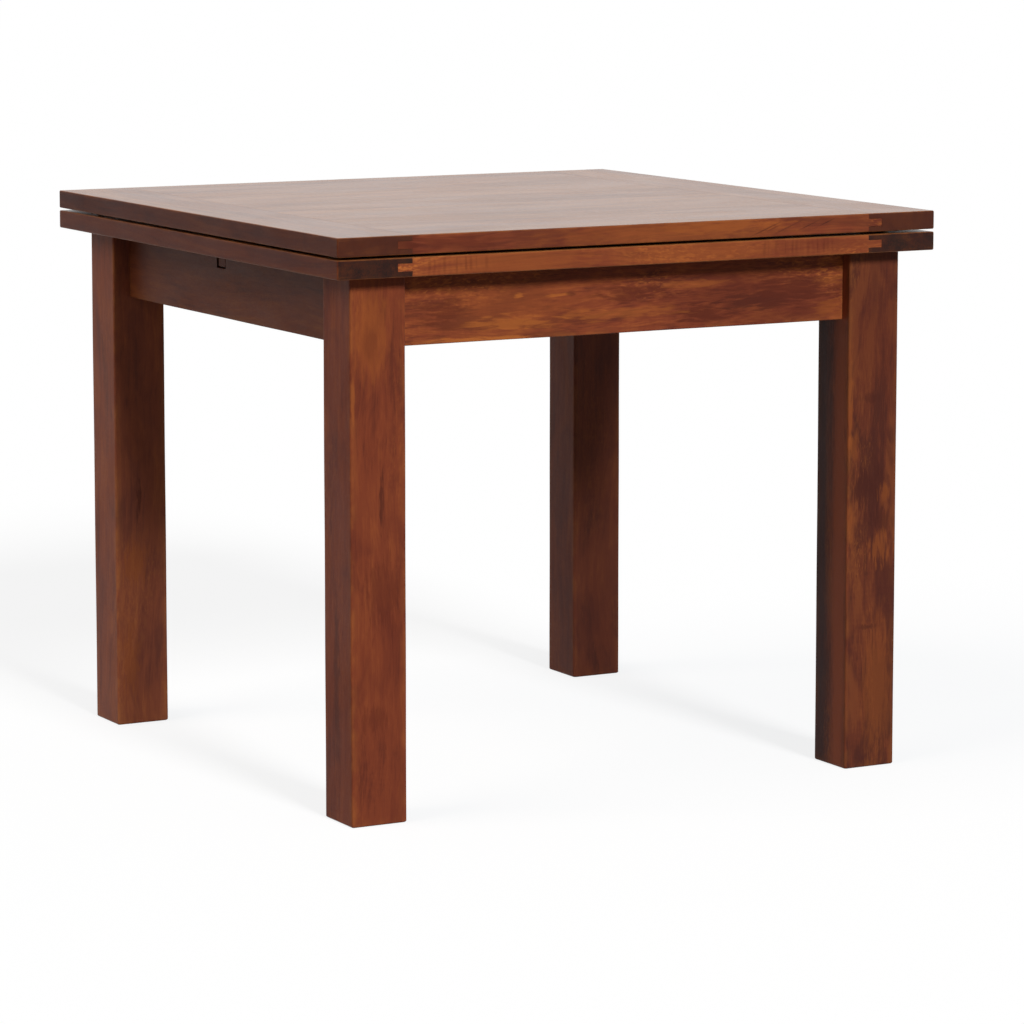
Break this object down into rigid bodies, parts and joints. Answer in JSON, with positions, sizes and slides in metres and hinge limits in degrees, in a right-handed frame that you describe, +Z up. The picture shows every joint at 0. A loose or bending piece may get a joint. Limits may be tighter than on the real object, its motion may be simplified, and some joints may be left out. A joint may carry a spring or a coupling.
{
  "type": "flip-top extending dining table",
  "caption": "Square wooden dining table with stacked hinged leaves: the top slides out on a runner and the upper leaf flips over to double its length.",
  "frame": {"origin": "on the floor under the middle of the closed top", "axes": "+Z up; +X along the front edge, with the hinged edge at +X and the top sliding out to -X; the front apron faces -Y"},
  "size_m": [0.9037, 0.9, 0.765],
  "materials": {
    "chestnut_wood": "chestnut stain under satin lacquer",
    "runner_wood": "dark stained, waxed",
    "plain_wood": "planed, unstained",
    "brass": "satin brass",
    "steel": "zinc plated",
    "felt": "dark brown felt",
    "rubber": "soft rubber"
  },
  "bodies": {
    "base": {"front_left_leg": "chestnut_wood", "front_right_leg": "chestnut_wood", "back_left_leg": "chestnut_wood", "back_right_leg": "chestnut_wood", "front_apron": "chestnut_wood", "back_apron": "chestnut_wood", "left_apron": "chestnut_wood", "right_apron": "chestnut_wood", "front_left_brace": "plain_wood", "front_right_brace": "plain_wood", "back_left_brace": "plain_wood", "back_right_brace": "plain_wood", "front_left_hanger_bolt": "steel", "front_right_hanger_bolt": "steel", "back_left_hanger_bolt": "steel", "back_right_hanger_bolt": "steel", "front_left_flange_nut": "steel", "front_right_flange_nut": "steel", "back_left_flange_nut": "steel", "back_right_flange_nut": "steel", "front_guide_rail": "plain_wood", "back_guide_rail": "plain_wood", "front_left_leg_felt": "felt", "front_right_leg_felt": "felt", "back_left_leg_felt": "felt", "back_right_leg_felt": "felt", "front_apron_felt": "felt", "back_apron_felt": "felt"},
    "lower_leaf": {"lower_field": "chestnut_wood", "lower_left_end": "chestnut_wood", "lower_right_end": "chestnut_wood", "slide_runner": "runner_wood", "stop_keeper": "plain_wood", "home_keeper": "plain_wood", "runner_screw_1": "steel", "runner_screw_2": "steel", "runner_screw_3": "steel", "runner_screw_4": "steel", "runner_screw_5": "steel", "keeper_screw_1": "steel", "keeper_screw_2": "steel", "keeper_screw_3": "steel", "keeper_screw_4": "steel", "front_bumper": "rubber", "back_bumper": "rubber", "lower_hinge_plate_front": "brass", "lower_hinge_plate_middle": "brass", "lower_hinge_plate_back": "brass", "hinge_pin_front": "steel", "hinge_pin_middle": "steel", "hinge_pin_back": "steel"},
    "upper_leaf": {"upper_field": "chestnut_wood", "upper_left_end": "chestnut_wood", "upper_right_end": "chestnut_wood", "upper_hinge_plate_front": "brass", "upper_hinge_plate_middle": "brass", "upper_hinge_plate_back": "brass"}
  },
  "joints": [
    {"name": "top_slide", "type": "slide", "parent": "base", "child": "lower_leaf", "axis": [-1, 0, 0], "range_m": [0, 0.45]},
    {"name": "leaf_flip", "type": "hinge", "parent": "lower_leaf", "child": "upper_leaf", "pos_m": [0.45075, 0, 0.73825], "axis": [0, 1, 0], "range_deg": [0, 180]}
  ]
}
